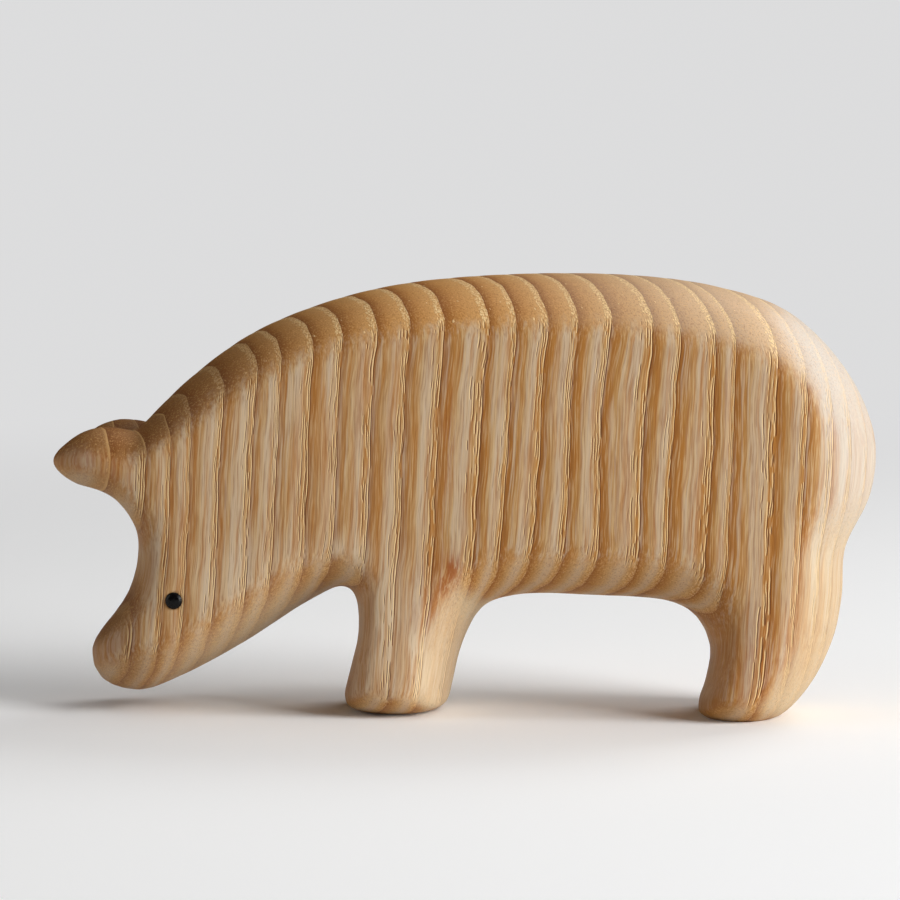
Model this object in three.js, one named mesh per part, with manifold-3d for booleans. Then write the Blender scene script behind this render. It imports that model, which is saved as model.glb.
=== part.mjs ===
import * as THREE from 'three';
import { mergeVertices } from 'three/addons/utils/BufferGeometryUtils.js';
import Module from 'manifold-3d';

// Wooden toy pig, after a block of ash sawn to its side view and rounded over by hand.
// Ears, snout and legs all stand in the one block, and a black peg is set into each side as an eye.
// Millimetres, +Z up, head towards -X, origin on the floor under the middle of the length.

// Block and round-over
const THICKNESS = 28;
const ROUND_OVER_POWER = 2; // 2 is an elliptical edge, a larger power a squarer one
const ROUND_OVER_STEPS = 6;
const OUTLINE_STEP = 1.9;

// Side view, clockwise from the nape as seen from the -Y side. Each station holds the x and z of the
// outermost edge, at half the thickness, then the x and z where the flat side begins.
const STATIONS = [
  [-46.1, 43.6, -41.8, 39.4], // nape
  [-40.7, 48.8, -36.2, 43], // neck
  [-32, 55.1, -28, 48.5], // withers
  [-21.6, 59.6, -18.5, 52.8], // shoulder
  [-9.8, 62.6, -7.4, 55.3], // front of the back
  [8, 64.2, 9, 55.8], // crest of the back
  [25.5, 64, 25.9, 55.7], // rear of the back
  [37, 62.4, 35.8, 54.4], // loin
  [46.7, 59.1, 43.4, 52.9], // croup
  [54, 52.5, 48.6, 49], // root of the tail
  [58.3, 45.4, 50.2, 44.1], // top of the rump
  [59.9, 39.5, 50.4, 39.3], // rump
  [59.1, 32.2, 50, 33.7], // underside of the rump
  [55.5, 24.5, 48, 27], // hollow over the ham
  [55.1, 17.6, 47, 19.7], // thigh
  [53.8, 11, 46, 12.5], // ham
  [50.3, 4, 44, 6.7], // hock
  [46.3, 0, 42.5, 4], // rear heel
  [41.5, -1.3, 41, 3], // rear sole
  [34.3, 0.5, 39.3, 3.5], // rear toe
  [35.2, 4.4, 40.2, 6.3], // rear pastern
  [36, 10.2, 41.6, 12.4], // shin
  [34, 14.4, 41.6, 18.2], // knee
  [30.7, 16.4, 35.5, 23.6], // flank
  [19, 17.3, 19.6, 25.6], // belly
  [7.5, 17.2, 5.6, 25], // front of the belly
  [2.4, 15.3, -2, 21.9], // elbow
  [-0.8, 9.5, -5.9, 12.8], // back of the front leg
  [-2.5, 2.8, -6.8, 6], // back of the front pastern
  [-3.2, 0.8, -7.2, 3.8], // front heel
  [-9.5, -0.4, -9.6, 3], // front sole
  [-17.5, 1, -12.4, 4.2], // front toe
  [-16.8, 6.2, -12.5, 7.2], // front of the front pastern
  [-15.5, 12, -12, 13.2], // shin of the front leg
  [-16.3, 17.4, -11.8, 21.6], // chest
  [-18, 18.3, -17, 24.8], // throat
  [-23, 16.1, -24.8, 22.9], // jaw
  [-33.4, 9.4, -35.3, 16.4], // rear of the chin
  [-42.7, 4.4, -40, 12.8], // chin
  [-48.4, 2.4, -42, 11.7], // underside of the snout
  [-54.1, 4.1, -43.8, 12], // lip
  [-55.6, 8.5, -44.3, 13.2], // tip of the snout
  [-49.9, 17.2, -43.1, 18.2], // bridge of the nose
  [-48.3, 23, -42.6, 23.2], // face
  [-48.4, 28.7, -44, 29.5], // brow
  [-49.8, 35.3, -46, 35.3], // front of the poll
  [-49.6, 39.4, -45.8, 37.8], // poll
  [-47.9, 41.7, -44.2, 39], // back of the poll
];

// Ears: blunt horns pointing forward from the poll, with a hollow underside that runs into the face.
// Each section, from the tip to a root inside the head, holds its x and the z of its top and underside.
const EAR_SECTIONS = [
  [-60, 37.3, 36.5],
  [-59.4, 38.2, 35.6],
  [-58.1, 39.4, 34.5],
  [-56, 40.9, 33.4],
  [-53.5, 41.8, 32.7],
  [-51, 41.9, 31.6],
  [-49.3, 41.7, 29.9],
  [-48, 41.3, 27.4],
  [-46, 40, 24.4],
];
const EAR_AXIS_Y = 8.1;
const EAR_SQUEEZE = 1.12; // breadth across the head over height
const EAR_HALF_BREADTH_MAX = 5.7;
const EAR_RINGS = 16;
const EAR_SIDES = 28;

// Eyes: round pegs with a domed head, in drilled sockets
const EYE_X = -41.3;
const EYE_Z = 17.1;
const EYE_DIAMETER = 2.5;
const EYE_DOME = 0.6;
const EYE_SHANK = 6;
const EYE_CHAMFER = 0.4;
const EYE_DOME_STEPS = 6;
const EYE_SIDES = 24;
const SOCKET_CLEARANCE = 0.08;
const SOCKET_SPARE_DEPTH = 0.4;

// The soles are planed flat on the floor plane by a block wider and longer than the pig
const FLOOR_BLOCK = [160, 60, 10];

const ASH = { name: 'ash', color: 0xb08e68, roughness: 0.5, metalness: 0 };
const BLACK_GLOSS = { name: 'black_gloss', color: 0x141012, roughness: 0.15, metalness: 0 };

const wasm = await Module();
wasm.setup();

// A closed geometry as a solid that can be joined and cut
function solidOf(geometry) {
  const bare = geometry.clone();
  bare.deleteAttribute('normal');
  bare.deleteAttribute('uv');
  const merged = mergeVertices(bare, 1e-4);
  const vertProperties = new Float32Array(merged.attributes.position.array);
  const triVerts = new Uint32Array(merged.index.array);
  return new wasm.Manifold(new wasm.Mesh({ numProp: 3, vertProperties, triVerts }));
}

function geometryOf(solid) {
  const { vertProperties, triVerts } = solid.getMesh();
  const geometry = new THREE.BufferGeometry();
  geometry.setAttribute('position', new THREE.BufferAttribute(vertProperties, 3));
  geometry.setIndex(new THREE.BufferAttribute(triVerts, 1));
  geometry.computeVertexNormals();
  return geometry;
}

// Points along the closed curve through the given [x, z] points, with steps[i] points after point i
function alongCurve(points, steps) {
  const corners = points.map(([x, z]) => new THREE.Vector3(x, 0, z));
  const curve = new THREE.CatmullRomCurve3(corners, true, 'centripetal');
  return steps.flatMap((count, i) =>
    Array.from({ length: count }, (_, j) => curve.getPoint((i + j / count) / points.length)),
  );
}

// A closed skin over rings of points, all of one count, that turn right-handed about the way they run.
// The end rings are flat, in the plane of the axes u and v, where u cross v points back along that way.
function loft(rings, u, v) {
  const count = rings[0].length;
  const index = [];
  for (let ring = 0; ring + 1 < rings.length; ring += 1) {
    for (let i = 0; i < count; i += 1) {
      const here = ring * count + i;
      const next = ring * count + ((i + 1) % count);
      index.push(here, next, here + count, next, next + count, here + count);
    }
  }
  const start = rings[0].map((point) => new THREE.Vector2(point[u], point[v]));
  for (const [a, b, c] of THREE.ShapeUtils.triangulateShape(start, [])) {
    index.push(a, b, c);
  }
  const end = rings.at(-1).map((point) => new THREE.Vector2(point[u], point[v]));
  const last = (rings.length - 1) * count;
  for (const [a, b, c] of THREE.ShapeUtils.triangulateShape(end, [])) {
    index.push(last + a, last + c, last + b);
  }
  const geometry = new THREE.BufferGeometry().setFromPoints(rings.flat());
  geometry.setIndex(index);
  return geometry;
}

// The block: rings from one flat side to the other, between the side's outline and the outer edge
function roundedBlock() {
  const edgePoints = STATIONS.map(([x, z]) => [x, z]);
  const facePoints = STATIONS.map(([, , x, z]) => [x, z]);
  const steps = edgePoints.map(([x, z], i) => {
    const [nextX, nextZ] = edgePoints[(i + 1) % edgePoints.length];
    return Math.max(2, Math.round(Math.hypot(nextX - x, nextZ - z) / OUTLINE_STEP));
  });
  const edge = alongCurve(edgePoints, steps);
  const face = alongCurve(facePoints, steps);

  const rings = [];
  for (let step = -ROUND_OVER_STEPS; step <= ROUND_OVER_STEPS; step += 1) {
    const angle = (Math.PI / 2) * (step / ROUND_OVER_STEPS);
    const outward = Math.cos(angle) ** (2 / ROUND_OVER_POWER);
    const across = Math.sign(step) * Math.abs(Math.sin(angle)) ** (2 / ROUND_OVER_POWER);
    rings.push(face.map((point, i) => point.clone().lerp(edge[i], outward).setY((across * THICKNESS) / 2)));
  }
  return loft(rings, 'x', 'z');
}

// An ear on one side of the head: oval rings from the tip to the root
function ear(side) {
  const sections = EAR_SECTIONS.map((section) => new THREE.Vector3(...section));
  const curve = new THREE.CatmullRomCurve3(sections, false, 'centripetal');
  const rings = curve.getPoints(EAR_RINGS).map(({ x, y: top, z: underside }) => {
    const radius = (top - underside) / 2;
    const halfBreadth = Math.min(EAR_SQUEEZE * radius, EAR_HALF_BREADTH_MAX);
    return Array.from({ length: EAR_SIDES }, (_, i) => {
      const angle = (2 * Math.PI * i) / EAR_SIDES;
      const y = side * EAR_AXIS_Y + halfBreadth * Math.cos(angle);
      return new THREE.Vector3(x, y, underside + radius + radius * Math.sin(angle));
    });
  });
  return loft(rings, 'z', 'y');
}

function eyeSocket(side) {
  const radius = EYE_DIAMETER / 2 + SOCKET_CLEARANCE;
  const depth = EYE_SHANK + SOCKET_SPARE_DEPTH;
  const geometry = new THREE.CylinderGeometry(radius, radius, 2 * depth, EYE_SIDES);
  geometry.translate(EYE_X, (side * THICKNESS) / 2, EYE_Z);
  return geometry;
}

// A peg along +Y whose shank starts at y = -EYE_SHANK and whose dome stands out past y = 0
function eyePeg() {
  const radius = EYE_DIAMETER / 2;
  const profile = [
    new THREE.Vector2(0, -EYE_SHANK),
    new THREE.Vector2(radius - EYE_CHAMFER, -EYE_SHANK),
    new THREE.Vector2(radius, EYE_CHAMFER - EYE_SHANK),
  ];
  for (let step = 0; step < EYE_DOME_STEPS; step += 1) {
    const angle = (Math.PI / 2) * (step / EYE_DOME_STEPS);
    profile.push(new THREE.Vector2(radius * Math.cos(angle), EYE_DOME * Math.sin(angle)));
  }
  profile.push(new THREE.Vector2(0, EYE_DOME));
  return new THREE.LatheGeometry(profile, EYE_SIDES);
}

function body() {
  const floorBlock = new THREE.BoxGeometry(...FLOOR_BLOCK);
  floorBlock.translate(0, 0, -FLOOR_BLOCK[2] / 2);
  let solid = solidOf(roundedBlock());
  for (const side of [-1, 1]) {
    solid = solid.add(solidOf(ear(side))).subtract(solidOf(eyeSocket(side)));
  }
  return geometryOf(solid.subtract(solidOf(floorBlock)));
}

const pig = new THREE.Group();
pig.name = 'toy_pig';

const block = new THREE.Mesh(body(), new THREE.MeshStandardMaterial(ASH));
block.name = 'body';
pig.add(block);

for (const [name, side] of [['eye_left', -1], ['eye_right', 1]]) {
  const eye = new THREE.Mesh(eyePeg(), new THREE.MeshStandardMaterial(BLACK_GLOSS));
  eye.name = name;
  eye.position.set(EYE_X, (side * THICKNESS) / 2, EYE_Z);
  eye.rotation.x = side < 0 ? Math.PI : 0;
  pig.add(eye);
}

export default pig;
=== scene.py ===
"""A toy pig carved from one block of ash, with black peg eyes, on a plain pale floor."""

import math

import bpy
import numpy as np
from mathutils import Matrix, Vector


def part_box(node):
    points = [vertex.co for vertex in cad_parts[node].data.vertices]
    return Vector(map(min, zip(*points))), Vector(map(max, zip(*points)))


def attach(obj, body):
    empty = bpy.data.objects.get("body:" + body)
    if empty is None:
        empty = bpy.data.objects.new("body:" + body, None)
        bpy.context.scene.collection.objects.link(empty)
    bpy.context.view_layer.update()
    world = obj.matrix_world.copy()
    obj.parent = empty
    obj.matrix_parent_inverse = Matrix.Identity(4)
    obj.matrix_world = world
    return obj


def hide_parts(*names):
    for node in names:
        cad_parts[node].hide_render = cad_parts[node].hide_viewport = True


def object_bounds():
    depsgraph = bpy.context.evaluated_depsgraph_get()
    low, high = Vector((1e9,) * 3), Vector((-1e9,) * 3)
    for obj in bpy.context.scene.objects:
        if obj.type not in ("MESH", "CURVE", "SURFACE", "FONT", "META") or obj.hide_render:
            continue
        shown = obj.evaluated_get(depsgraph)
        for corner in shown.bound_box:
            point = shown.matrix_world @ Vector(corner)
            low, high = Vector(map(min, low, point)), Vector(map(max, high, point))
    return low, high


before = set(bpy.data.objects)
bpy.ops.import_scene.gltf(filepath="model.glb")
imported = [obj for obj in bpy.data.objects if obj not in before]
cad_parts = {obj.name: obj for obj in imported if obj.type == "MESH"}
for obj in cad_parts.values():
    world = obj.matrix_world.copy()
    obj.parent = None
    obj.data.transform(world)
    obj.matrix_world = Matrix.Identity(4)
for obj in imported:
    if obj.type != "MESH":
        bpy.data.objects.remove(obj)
cad_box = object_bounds()

MM = 0.001

# Camera: a long lens, a little to the pig's rear and just above its back
CAMERA_DISTANCE = 0.700
CAMERA_AZIMUTH = math.radians(6.0)
CAMERA_HEIGHT = 0.094
CAMERA_AIM_X = -0.0024
CAMERA_PITCH = math.radians(4.55)
CAMERA_LENS = 191.1
CAMERA_SENSOR = 36.0

# Stage and light
BACKDROP = (0.72, 0.72, 0.725, 1.0)
FLOOR_RADIUS = 6.0
FLOOR_FADE = (0.15, 0.60)  # distances at which the floor starts and ends turning into the backdrop
LIGHT_TARGET = Vector((0.0, 0.0, 0.03))

# Skin of the body
HALF_THICKNESS = round(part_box("body")[1][1] / MM, 3)
VOXEL = 0.34 * MM
SMOOTHING_PASSES = 14
EDGE_PASSES = 120  # more of them, for the edges round the flat sides
EDGE_BAND = (HALF_THICKNESS - 4.5, HALF_THICKNESS - 1.5)  # where these set in, mm from the middle plane
SHRINKAGE = 0.08  # what the smoothing takes off the outline, mm
EYE_CLOSING = 0.25  # how far the wood closes in round the eyes, mm

# Fillets: x, z, half length and half height in mm, and smoothing passes
FILLETS = (
    (-49.0, 33.0, 7.5, 13.0, 110),  # roots of the ears
    (-48.0, 26.0, 4.0, 5.5, 260),  # hollow of the face
)

# Growth rings. The tree's heart lies behind the pig and past its rump, and the fibres stand upright.
PITH = (222.0, 107.0)  # x and y, mm
NEAR_SIDE_Y = -HALF_THICKNESS
RING_LEVEL_Z = 39.8
RING_EDGES = (
    -77, -72.5, -68, -64, -59.5, -50.5, -45.1, -41.4, -38.4, -34, -29.4, -25.9, -21.3, -17.2, -12.4,
    -7.7, -2.7, 3.6, 7.5, 12.1, 16.5, 21.2, 27.3, 31.3, 36.9, 39.7, 46.1, 50.5, 55.2, 59.4, 64.5,
    69, 73.2, 78, 82.5, 87, 92,
)  # x of each ring's sharp edge along the near side, at RING_LEVEL_Z, mm
RING_LEAN = ((-40.0, 0.06), (10.0, 0.05))  # lean of the rings at two places along the side
RING_FACING = (0.87, 0.49)  # x and y of the way the rings face
RING_DEPTH = 0.10  # how far the open-pored wood lies below the dense wood, mm
RING_CREST = 0.45  # highest place within a ring, from one sharp edge to the next
RING_WIDTH = 4.6  # mean, mm
PORE_PITCH = 0.25  # mm between vessels cut across
PORE_ZONE = 0.95  # breadth of the zone crowded with vessels, mm
WANDER_SEED = 7

# Columns of long vessels in each ring: distance before the ring's sharp edge, half breadth, how much
# of the column is open, and how far it strays along the fibre, all in mm but the third
VESSEL_COLUMNS = (
    (0.21, 0.085, 0.95, 0.25),
    (0.48, 0.070, 0.70, 0.60),
    (0.76, 0.070, 0.60, 0.80),
    (1.06, 0.065, 0.45, 0.80),
    (1.45, 0.060, 0.30, 0.80),
)

# Patches of the wood that differ from the rest: x, z, half length and half height in mm, and strength
PALE_PATCHES = (
    (-10.0, 8.0, 11.0, 22.0, 0.80),  # front leg
    (-27.0, 20.0, 16.0, 10.0, 0.50),  # throat
    (-15.5, 23.0, 6.0, 6.0, 0.60),  # chest
)
WARM_PATCHES = (
    (-0.8, 19.5, 2.8, 7.5, 0.95),  # flame behind the front leg
    (-2.5, 17.0, 6.5, 9.5, 0.40),  # round the flame
    (-1.0, 41.0, 1.2, 14.0, 0.45),  # streak up the side
    (-54.0, 37.0, 9.0, 8.0, 0.50),  # ears
    (-53.0, 7.0, 9.0, 9.0, 0.30),  # snout
    (44.0, 7.0, 10.0, 15.0, 0.35),  # rear leg
)
CLOSED_PATCHES = (
    (-55.0, 37.0, 10.0, 9.0, 0.85),  # ears, where few vessels are open
    (-45.0, 42.0, 8.0, 6.0, 0.60),  # poll
)


def srgb(red, green, blue):
    """Linear colour from 0 to 255 screen values."""
    def linear(value):
        value /= 255.0
        return value / 12.92 if value <= 0.04045 else ((value + 0.055) / 1.055) ** 2.4
    return (linear(red), linear(green), linear(blue), 1.0)


def link(name, data):
    obj = bpy.data.objects.new(name, data)
    bpy.context.scene.collection.objects.link(obj)
    return obj


def evaluated_mesh(obj):
    """A mesh of the object with its modifiers applied."""
    graph = bpy.context.evaluated_depsgraph_get()
    return bpy.data.meshes.new_from_object(obj.evaluated_get(graph))


def vertex_positions(mesh):
    values = np.empty(len(mesh.vertices) * 3, np.float32)
    mesh.vertices.foreach_get("co", values)
    return values.reshape(-1, 3).astype(float)


def vertex_normals(mesh):
    values = np.empty(len(mesh.vertices) * 3, np.float32)
    mesh.vertex_normals.foreach_get("vector", values)
    return values.reshape(-1, 3).astype(float)


def store(mesh, name, values):
    """Keeps a number or a vector for each vertex, for the material to read."""
    kind, field = ("FLOAT", "value") if values.ndim == 1 else ("FLOAT_VECTOR", "vector")
    attribute = mesh.attributes.new(name, kind, "POINT")
    attribute.data.foreach_set(field, values.astype(np.float32).ravel())


def smooth_step(low, high, value):
    t = np.clip((value - low) / (high - low), 0.0, 1.0)
    return t * t * (3.0 - 2.0 * t)


def wander(points, seed, wavelengths, amplitude):
    """A smooth random field of about the given amplitude, from seeded plane waves."""
    random = np.random.default_rng(seed)
    total = np.zeros(len(points))
    waves = 12
    for _ in range(waves):
        direction = random.normal(size=3) / np.array(wavelengths)
        phase = random.uniform(0.0, 2.0 * math.pi)
        total += np.sin(2.0 * math.pi * (points @ direction) + phase)
    return amplitude * total / math.sqrt(waves / 2.0)


def grain_of(points):
    """Distance along the near side and ring count at points in mm. Both grow towards the rump."""
    x, y, z = points.T
    reach = PITH[1] - NEAR_SIDE_Y
    radius_squared = (x - PITH[0]) ** 2 + (y - PITH[1]) ** 2
    along = PITH[0] - np.sqrt(radius_squared - reach ** 2)
    (left, lean_left), (right, lean_right) = RING_LEAN
    along = along - np.interp(along, (left, right), (lean_left, lean_right)) * (z - RING_LEVEL_Z)
    along += wander(points, WANDER_SEED, (40.0, 40.0, 70.0), 0.25)
    along += wander(points, WANDER_SEED + 1, (9.0, 9.0, 14.0), 0.06)
    ring = np.interp(along, RING_EDGES, np.arange(len(RING_EDGES)))
    return along, ring


def patch_distance(points, x, z, half_length, half_height):
    """Distance of points in mm from the middle of an oval patch, 1 at its rim."""
    return np.hypot((points[:, 0] - x) / half_length, (points[:, 2] - z) / half_height)


def patch_tone(points, patches):
    """Strength of the strongest patch at points in mm."""
    tone = np.zeros(len(points))
    for *patch, strength in patches:
        tone = np.maximum(tone, strength * (1.0 - smooth_step(0.3, 1.0, patch_distance(points, *patch))))
    return tone


def eye_offset(points):
    """Offsets in x and z of points in mm from the eyes' axis, in eye diameters."""
    low, high = (np.array(corner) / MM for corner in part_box("eye_left"))
    return (points - (low + high) / 2.0)[:, (0, 2)] / (high - low)[0]


def smooth_by(obj, name, weight, passes):
    """Smooths a mesh by so many passes, each vertex as far as its weight says."""
    group = obj.vertex_groups.new(name=name)
    for index in np.flatnonzero(weight > 0.0):
        group.add([int(index)], float(weight[index]), "REPLACE")
    smooth = obj.modifiers.new(name, "SMOOTH")
    smooth.vertex_group = name
    smooth.iterations = passes


def smoothed_block():
    """The CAD block as an even mesh, smoothed but for the eyes' bores, with its fillets worn in."""
    rough = link("carving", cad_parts["body"].data.copy())
    remesh = rough.modifiers.new("remesh", "REMESH")
    remesh.mode = "VOXEL"
    remesh.voxel_size = VOXEL
    mesh = evaluated_mesh(rough)
    rough.modifiers.clear()
    rough.data = mesh

    points = vertex_positions(mesh) / MM
    off_eyes = smooth_step(0.6, 1.2, np.linalg.norm(eye_offset(points), axis=1))
    smooth_by(rough, "skin", off_eyes, SMOOTHING_PASSES)
    smooth_by(rough, "edge", off_eyes * smooth_step(*EDGE_BAND, np.abs(points[:, 1])), EDGE_PASSES)
    for number, (*patch, passes) in enumerate(FILLETS):
        weight = 1.0 - smooth_step(0.55, 1.0, patch_distance(points, *patch))
        smooth_by(rough, f"fillet_{number}", weight, passes)
    mesh = evaluated_mesh(rough)
    bpy.data.objects.remove(rough)
    return mesh


def closed_in_on_eyes(points):
    """Points in mm with the bores' rims drawn in towards the eyes."""
    offset = eye_offset(points)
    from_eye = np.linalg.norm(offset, axis=1)
    closing = EYE_CLOSING * (1.0 - smooth_step(0.55, 1.0, from_eye)) / np.maximum(from_eye, 0.1)
    points = points.copy()
    points[:, (0, 2)] -= offset * closing[:, None]
    return points


def ring_depth(points, normals, ring):
    """How far the skin sinks between the rings, in mm. The back, belly and soles are worn smoother."""
    phase = ring - np.floor(ring)
    groove = ((phase - RING_CREST) / (1.0 - RING_CREST)) ** 2
    rise = normals[:, 2]
    unworn = (1.0 - 0.5 * np.maximum(rise, 0.0)) * (1.0 - 0.8 * smooth_step(0.0, 0.5, -rise))
    return RING_DEPTH * groove * unworn * smooth_step(0.5, 9.0, points[:, 2])


def carve_body():
    """The smoothed block with its rings in relief, kept inside the CAD box."""
    mesh = smoothed_block()
    normals = vertex_normals(mesh)
    points = closed_in_on_eyes(vertex_positions(mesh) / MM)
    along, ring = grain_of(points)
    points = points + normals * (SHRINKAGE - ring_depth(points, normals, ring))[:, None]
    low, high = (np.array(corner) / MM for corner in cad_box)
    points = np.clip(points, low, high)
    mesh.vertices.foreach_set("co", (points * MM).astype(np.float32).ravel())

    store(mesh, "ring", ring)
    store(mesh, "grain", np.stack([along, points[:, 1], points[:, 2]], axis=1))
    store(mesh, "pale", patch_tone(points, PALE_PATCHES))
    store(mesh, "warm", patch_tone(points, WARM_PATCHES))
    store(mesh, "open", 1.0 - patch_tone(points, CLOSED_PATCHES))
    mesh.materials.clear()
    mesh.update()
    mesh.shade_smooth()
    return link("carved_body", mesh)


class Graph:
    """Short names for building a material's nodes."""

    def __init__(self, name):
        self.material = bpy.data.materials.new(name)
        self.material.use_nodes = True
        self.nodes = self.material.node_tree.nodes
        self.links = self.material.node_tree.links
        self.shader = self.nodes["Principled BSDF"]

    def put(self, socket, value):
        if isinstance(value, bpy.types.NodeSocket):
            self.links.new(value, socket)
        elif value is not None:
            socket.default_value = value

    def math(self, operation, a, b=None, c=None):
        node = self.nodes.new("ShaderNodeMath")
        node.operation = operation
        for socket, value in zip(node.inputs, (a, b, c)):
            self.put(socket, value)
        return node.outputs[0]

    def product(self, first, *others):
        for other in others:
            first = self.math("MULTIPLY", first, other)
        return first

    def attribute(self, name, output):
        node = self.nodes.new("ShaderNodeAttribute")
        node.attribute_name = name
        return node.outputs[output]

    def parts(self, vector):
        node = self.nodes.new("ShaderNodeSeparateXYZ")
        self.put(node.inputs[0], vector)
        return node.outputs[0], node.outputs[1], node.outputs[2]

    def joined(self, x, y, z):
        node = self.nodes.new("ShaderNodeCombineXYZ")
        for socket, value in zip(node.inputs, (x, y, z)):
            self.put(socket, value)
        return node.outputs[0]

    def noise(self, vector, sizes, detail=2.0, roughness=0.5):
        """Noise whose grains are of the given sizes along the vector's three parts."""
        scaled = self.nodes.new("ShaderNodeMapping")
        self.put(scaled.inputs["Vector"], vector)
        scaled.inputs["Scale"].default_value = [1.0 / size for size in sizes]
        node = self.nodes.new("ShaderNodeTexNoise")
        self.put(node.inputs["Vector"], scaled.outputs[0])
        node.inputs["Scale"].default_value = 1.0
        node.inputs["Detail"].default_value = detail
        node.inputs["Roughness"].default_value = roughness
        return node.outputs[0]

    def span(self, value, low, high, to_low=0.0, to_high=1.0):
        """A smooth step from one value at low to another at high."""
        node = self.nodes.new("ShaderNodeMapRange")
        node.interpolation_type = "SMOOTHSTEP"
        for name, number in (("Value", value), ("From Min", low), ("From Max", high),
                             ("To Min", to_low), ("To Max", to_high)):
            self.put(node.inputs[name], number)
        return node.outputs[0]

    def ramp(self, value, stops):
        node = self.nodes.new("ShaderNodeValToRGB")
        elements = node.color_ramp.elements
        while len(elements) < len(stops):
            elements.new(0.5)
        for element, (place, colour) in zip(elements, stops):
            element.position = place
            element.color = colour
        self.put(node.inputs["Fac"], value)
        return node.outputs["Color"]

    def mix(self, share, a, b):
        node = self.nodes.new("ShaderNodeMix")
        node.data_type = "RGBA"
        self.put(node.inputs["Factor"], share)
        self.put(node.inputs["A"], a)
        self.put(node.inputs["B"], b)
        return node.outputs["Result"]


class Wood:
    """What the ash's nodes share: places in the wood, in mm, and the ways its surface faces."""

    def __init__(self, g):
        ring = g.attribute("ring", "Fac")
        self.number = g.math("FLOOR", ring)
        self.phase = g.math("FRACT", ring)
        self.before = g.math("MULTIPLY", g.math("SUBTRACT", 1.0, self.phase), RING_WIDTH)
        self.grain = g.attribute("grain", "Vector")
        self.along, self.y, self.z = g.parts(self.grain)
        self.streak = g.noise(self.grain, (0.55, 0.55, 18.0), detail=3.0, roughness=0.6)
        self.fibre = g.noise(self.grain, (0.20, 0.20, 5.0), detail=2.0, roughness=0.6)
        self.speckle = g.noise(self.grain, (0.22, 0.22, 0.5), detail=2.0, roughness=0.7)

        x, y, self.rise = g.parts(g.nodes.new("ShaderNodeNewGeometry").outputs["Normal"])
        self.steep = g.math("ABSOLUTE", self.rise)
        # Shares of the surface turned to the window lamp and away from it, where a painted sheen and
        # painted shade go
        self.facing_window = g.product(g.span(x, 0.25, 0.70), g.span(self.z, 14.0, 36.0, 0.80, 1.0))
        self.away_from_window = g.span(x, -0.18, -0.72)

        # Vessels show less where they are closed, and where the surface runs along a ring
        facing_ring = g.math("MULTIPLY_ADD", x, RING_FACING[0], g.product(y, RING_FACING[1]))
        self.across_rings = g.span(g.math("ABSOLUTE", facing_ring), 0.75, 0.95, 1.0, 0.10)
        self.opened = g.attribute("open", "Fac")
        self.shown = g.product(self.opened, self.across_rings)

        # Painted sheen for surfaces turned to the window: pale grey high on the rump and, warmer, on the
        # legs' rear sides
        self.rump = g.mix(g.span(self.z, 18.0, 40.0), srgb(204, 184, 148), srgb(194, 190, 183))


def vessels(g, wood):
    """Masks of the long vessels' bottoms and of their walls on the head's and the rump's side, the walls
    for a painted highlight and painted shade.
    """
    masks = []
    for column, (centre, half, share, stray) in enumerate(VESSEL_COLUMNS):
        def field(offset, across, along):
            place = g.math("MULTIPLY_ADD", wood.number, 7.3, offset + 17.0 * column)
            vector = g.joined(place, g.math("DIVIDE", wood.y, across), g.math("DIVIDE", wood.z, along))
            return g.noise(vector, (1.0, 1.0, 1.0), detail=1.0)

        wiggle = g.product(g.math("SUBTRACT", field(0.0, 1.0, 2.6), 0.5), 0.24)
        drift = g.product(g.math("SUBTRACT", field(40.0, 3.0, 16.0), 0.5), stray)
        opened = g.span(field(80.0, 0.40, 3.8), 0.60 - 0.24 * share, 0.68 - 0.24 * share)
        offset = g.math("SUBTRACT", g.math("SUBTRACT", wood.before, centre), g.math("ADD", wiggle, drift))
        bottom = g.span(g.math("ABSOLUTE", offset), half * 1.15, half * 0.4)
        painted_highlight_wall = g.product(g.span(offset, 0.0, half * 0.5), g.span(offset, half * 2.2, half))
        painted_shade_wall = g.product(g.span(offset, 0.0, -half * 0.5), g.span(offset, -half * 2.4, -half * 1.2))
        masks.append([g.product(mask, opened) for mask in (bottom, painted_highlight_wall, painted_shade_wall)])
    joined = masks[0]
    for more in masks[1:]:
        joined = [g.math("MAXIMUM", a, b) for a, b in zip(joined, more)]
    return joined


def pores(g, wood):
    """Mask of the vessels cut across: dots crowded into a zone before each ring's sharp edge."""
    row = g.math("MULTIPLY_ADD", wood.number, 31.7, g.math("DIVIDE", wood.before, PORE_PITCH))
    cells = g.nodes.new("ShaderNodeTexVoronoi")
    cells.voronoi_dimensions = "2D"
    cells.inputs["Scale"].default_value = 1.0
    g.put(cells.inputs["Vector"], g.joined(row, g.math("DIVIDE", wood.y, PORE_PITCH), 0.0))
    chance = g.nodes.new("ShaderNodeSeparateColor")
    g.put(chance.inputs[0], cells.outputs["Color"])
    share = g.span(wood.before, PORE_ZONE * 0.7, PORE_ZONE * 1.15, 0.95, 0.006)
    kept = g.math("LESS_THAN", chance.outputs[0], share)
    strength = g.span(chance.outputs[1], 0.0, 1.0, 0.45, 1.0)
    return g.product(kept, strength, g.span(cells.outputs["Distance"], 0.60, 0.30))


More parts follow.
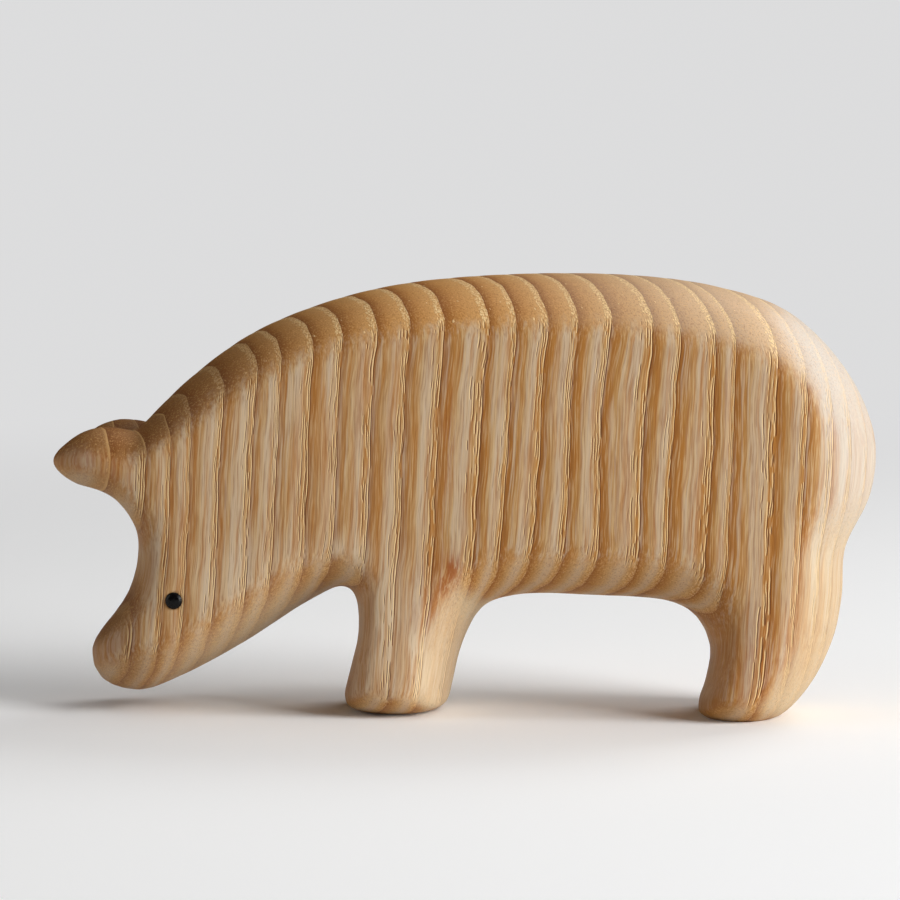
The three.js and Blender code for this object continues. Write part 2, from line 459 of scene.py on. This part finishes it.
def plain_side(g, wood):
    """Colour of wood cut along the fibre: brown at a ring's edges, pale in its middle, with a painted
    sheen on surfaces turned to the window.
    """
    side = g.ramp(wood.phase, (
        (0.00, srgb(150, 92, 38)),
        (0.08, srgb(166, 110, 50)),
        (0.22, srgb(182, 130, 66)),
        (0.38, srgb(194, 154, 102)),
        (0.55, srgb(201, 174, 142)),
        (0.70, srgb(200, 172, 140)),
        (0.80, srgb(193, 151, 98)),
        (0.90, srgb(187, 130, 60)),
        (1.00, srgb(164, 102, 42)),
    ))
    side = g.mix(g.span(wood.along, 12.0, -30.0, 0.0, 0.20), side, srgb(212, 188, 154))
    side = g.mix(g.span(wood.along, 10.0, 46.0, 0.0, 0.15), side, srgb(162, 110, 56))
    # Painted sheen on the side grain turned to the window
    return g.mix(g.product(wood.facing_window, 0.60), side, srgb(196, 186, 168))


def figured_side(g, wood, side):
    """The side's colour with its patches, streaks, fibres and red flames, a painted sheen on surfaces
    turned to the window and painted shade on those turned away from it.
    """
    side = g.mix(g.attribute("pale", "Fac"), side, srgb(224, 203, 172))
    streak_share = g.span(wood.opened, 0.2, 1.0, 0.15, 0.55)
    side = g.mix(g.span(wood.streak, 0.50, 0.66, 0.0, streak_share), side, srgb(208, 187, 161))
    side = g.mix(g.span(wood.streak, 0.50, 0.34, 0.0, 0.60), side, srgb(179, 114, 42))
    band = g.noise(wood.grain, (1.6, 1.6, 30.0), detail=2.0)
    side = g.mix(g.span(band, 0.50, 0.66, 0.0, 0.45), side, srgb(181, 118, 46))
    fibre_share = g.product(wood.opened, 0.40)
    side = g.mix(g.span(wood.fibre, 0.51, 0.66, 0.0, fibre_share), side, srgb(224, 194, 148))
    side = g.mix(g.span(wood.fibre, 0.49, 0.34, 0.0, fibre_share), side, srgb(142, 84, 32))
    flame = g.noise(wood.grain, (0.4, 0.4, 4.0), detail=3.0, roughness=0.6)
    warm = g.product(g.attribute("warm", "Fac"), g.span(flame, 0.43, 0.58, 0.25, 1.0))
    side = g.mix(warm, side, srgb(156, 78, 22))
    # Painted sheen on surfaces turned to the window, and painted shade on those turned away from it
    side = g.mix(g.product(wood.facing_window, 0.45), side, wood.rump)
    return g.mix(g.product(wood.away_from_window, 0.40), side, srgb(156, 104, 56))


def end_grain(g, wood, side):
    """Colour of wood cut across the fibre: golden on the back, browner on the neck, with a painted sheen
    towards the croup and on surfaces turned to the window, and with much of the side's figure on the
    belly."""
    end = g.ramp(wood.phase, (
        (0.00, srgb(140, 82, 34)),
        (0.10, srgb(162, 103, 46)),
        (0.35, srgb(194, 137, 74)),
        (0.75, srgb(209, 157, 95)),
        (1.00, srgb(210, 158, 97)),
    ))
    end = g.mix(g.span(wood.rise, -0.1, -0.6, 0.0, 0.8), end, side)
    brown = g.product(g.span(wood.along, -8.0, -45.0, 0.0, 0.76), g.span(wood.rise, -0.3, 0.3, 0.28, 1.0))
    end = g.mix(brown, end, srgb(116, 70, 32))
    # Painted sheen on the end grain, growing towards the croup on faces turned up
    pale = g.product(g.span(wood.along, 0.0, 45.0, 0.0, 0.64), g.span(wood.rise, -0.1, 0.4))
    end = g.mix(pale, end, srgb(212, 190, 162))
    # Painted sheen on the end grain turned to the window
    end = g.mix(g.product(wood.facing_window, 0.80), end, wood.rump)
    end = g.mix(g.span(wood.speckle, 0.52, 0.68, 0.0, 0.45), end, srgb(226, 178, 112))
    return g.mix(g.span(wood.speckle, 0.48, 0.32, 0.0, 0.45), end, srgb(140, 82, 32))


def ash_material():
    """Oiled ash: side and end grain, which meet along a ragged edge, with open vessels in both."""
    g = Graph("oiled_ash")
    wood = Wood(g)
    plain = plain_side(g, wood)
    ragged = g.math("MULTIPLY_ADD", g.math("SUBTRACT", wood.streak, 0.5), -0.45, wood.steep)
    ragged = g.math("MULTIPLY_ADD", g.math("SUBTRACT", wood.phase, 0.5), -0.10, ragged)
    base = g.mix(g.span(ragged, 0.03, 0.62), figured_side(g, wood, plain), end_grain(g, wood, plain))

    # Long vessels on the sides, with a painted highlight on one wall and painted shade on the other
    bottom, painted_highlight_wall, painted_shade_wall = vessels(g, wood)
    along_fibre = g.product(g.span(wood.steep, 0.20, 0.58, 1.0, 0.0), wood.shown)
    base = g.mix(g.product(painted_highlight_wall, along_fibre, 0.75), base, srgb(240, 208, 152))

    # Bright crumbs on the back where vessels are cut across, fewer towards the head and the rump
    crumbs = g.product(
        pores(g, wood),
        g.span(wood.steep, 0.20, 0.50),
        g.span(wood.rise, -0.5, 0.2, 0.35, 1.0),
        g.span(wood.facing_window, 0.0, 1.0, 1.0, 0.45),
        g.span(wood.along, -45.0, -8.0, 0.25, 1.0),
        wood.shown,
    )
    base = g.mix(g.product(crumbs, 0.90), base, srgb(246, 214, 158))
    # Painted shade on the vessels' walls turned from the window, weaker where the surface is turned to it
    painted_wall_shade = g.product(painted_shade_wall, along_fibre, g.span(wood.facing_window, 0.0, 1.0, 0.90, 0.40))
    base = g.mix(painted_wall_shade, base, srgb(108, 56, 18))

    # Where the vessels are closed, a ring ends in a frayed bright rim
    frayed = g.math("MULTIPLY_ADD", g.math("SUBTRACT", wood.speckle, 0.5), 0.6, wood.before)
    closed = g.span(wood.opened, 0.3, 1.0, 0.60, 0.0)
    rim = g.product(g.span(frayed, 0.30, 0.10), closed, wood.across_rings)
    base = g.mix(rim, base, srgb(216, 172, 112))

    g.put(g.shader.inputs["Base Color"], base)
    g.put(g.shader.inputs["Roughness"], g.span(wood.streak, 0.3, 0.7, 0.50, 0.60))
    g.shader.inputs["Specular IOR Level"].default_value = 0.3

    height = g.product(bottom, along_fibre, -0.035)
    height = g.math("MULTIPLY_ADD", wood.streak, 0.03, height)
    height = g.math("MULTIPLY_ADD", wood.fibre, 0.02, height)
    height = g.math("MULTIPLY_ADD", crumbs, 0.04, height)
    bump = g.nodes.new("ShaderNodeBump")
    bump.inputs["Strength"].default_value = 1.0
    bump.inputs["Distance"].default_value = MM
    g.put(bump.inputs["Height"], height)
    g.put(g.shader.inputs["Normal"], bump.outputs[0])
    return g.material


def eye_material():
    g = Graph("black_gloss")
    g.shader.inputs["Base Color"].default_value = srgb(10, 8, 9)
    position = g.nodes.new("ShaderNodeTexCoord").outputs["Object"]
    smear = g.noise(position, (0.6 * MM,) * 3)
    g.put(g.shader.inputs["Roughness"], g.span(smear, 0.3, 0.7, 0.20, 0.32))
    g.shader.inputs["Specular IOR Level"].default_value = 0.2
    return g.material


def dress_eye(name, material):
    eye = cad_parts[name]
    eye.data.materials.clear()
    eye.data.materials.append(material)
    eye.data.shade_smooth()


def seen_or(g, seen, otherwise):
    """The first shader where the camera looks straight at the surface, and the second for all light."""
    path = g.nodes.new("ShaderNodeLightPath")
    mix = g.nodes.new("ShaderNodeMixShader")
    g.put(mix.inputs[0], path.outputs["Is Camera Ray"])
    g.put(mix.inputs[1], otherwise)
    g.put(mix.inputs[2], seen)
    return mix.outputs[0]


def make_stage():
    """A round pale floor, which fades into an even backdrop colour away from the pig."""
    g = Graph("pale_floor")
    g.shader.inputs["Base Color"].default_value = (0.85, 0.85, 0.85, 1.0)
    g.shader.inputs["Roughness"].default_value = 0.9
    g.shader.inputs["Specular IOR Level"].default_value = 0.1
    place = g.nodes.new("ShaderNodeTexCoord").outputs["Object"]
    distance = g.nodes.new("ShaderNodeVectorMath")
    distance.operation = "LENGTH"
    g.put(distance.inputs[0], place)
    white = g.nodes.new("ShaderNodeBsdfDiffuse")
    white.inputs["Color"].default_value = (1.0, 1.0, 1.0, 1.0)
    glow = g.nodes.new("ShaderNodeEmission")
    glow.inputs["Color"].default_value = BACKDROP
    fade = g.nodes.new("ShaderNodeMixShader")
    g.put(fade.inputs[0], g.span(distance.outputs["Value"], *FLOOR_FADE))
    g.put(fade.inputs[1], white.outputs[0])
    g.put(fade.inputs[2], glow.outputs[0])
    surface = g.nodes["Material Output"].inputs["Surface"]
    g.put(surface, seen_or(g, fade.outputs[0], g.shader.outputs[0]))

    sides = 96
    turns = [2.0 * math.pi * i / sides for i in range(sides)]
    corners = [(FLOOR_RADIUS * math.cos(a), FLOOR_RADIUS * math.sin(a), 0.0) for a in turns]
    mesh = bpy.data.meshes.new("floor")
    mesh.from_pydata(corners, [], [tuple(range(sides))])
    mesh.materials.append(g.material)
    link("floor", mesh)


def area_light(name, direction, distance, size, level):
    """A soft lamp that lights a facing surface at the centre to the given level, where 1 shows a
    colour as written."""
    lamp = bpy.data.lights.new(name, "AREA")
    lamp.size = size
    lamp.energy = level * math.pi ** 2 * distance ** 2
    obj = link(name, lamp)
    aim = Vector(direction).normalized()
    obj.location = LIGHT_TARGET + aim * distance
    obj.rotation_euler = (-aim).to_track_quat("-Z", "Y").to_euler()


def make_lights():
    """A broad window behind and to the right, softer lamps to fill in, and a dim room."""
    area_light("window", (0.86, -0.35, 0.34), 1.0, 0.65, 1.34)
    area_light("back_window", (0.44, 0.60, 0.67), 1.2, 0.55, 0.30)
    area_light("ceiling", (0.0, 0.1, 1.0), 1.2, 0.9, 0.18)
    area_light("left_fill", (-0.90, -0.30, 0.30), 1.2, 0.9, 0.23)
    world = bpy.data.worlds.new("room")
    bpy.context.scene.world = world
    world.use_nodes = True
    nodes = world.node_tree.nodes
    links = world.node_tree.links
    room = nodes["Background"]
    room.inputs["Strength"].default_value = 0.03
    seen = nodes.new("ShaderNodeBackground")
    seen.inputs["Color"].default_value = BACKDROP
    mix = nodes.new("ShaderNodeMixShader")
    links.new(nodes.new("ShaderNodeLightPath").outputs["Is Camera Ray"], mix.inputs[0])
    links.new(room.outputs[0], mix.inputs[1])
    links.new(seen.outputs[0], mix.inputs[2])
    links.new(mix.outputs[0], nodes["World Output"].inputs["Surface"])


def make_camera():
    data = bpy.data.cameras.new("photo_view")
    data.lens = CAMERA_LENS
    data.sensor_width = CAMERA_SENSOR
    data.clip_start = 0.01
    camera = link("photo_view", data)
    camera.location = (
        CAMERA_AIM_X + CAMERA_DISTANCE * math.sin(CAMERA_AZIMUTH),
        -CAMERA_DISTANCE * math.cos(CAMERA_AZIMUTH),
        CAMERA_HEIGHT,
    )
    camera.rotation_euler = (math.pi / 2 - CAMERA_PITCH, 0.0, CAMERA_AZIMUTH)
    bpy.context.scene.camera = camera


make_camera()
body = carve_body()
body.data.materials.append(ash_material())
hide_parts("body")
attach(body, "root")
gloss = eye_material()
for eye_name in ("eye_left", "eye_right"):
    dress_eye(eye_name, gloss)
make_stage()
make_lights()
bpy.context.scene.view_settings.view_transform = "Standard"
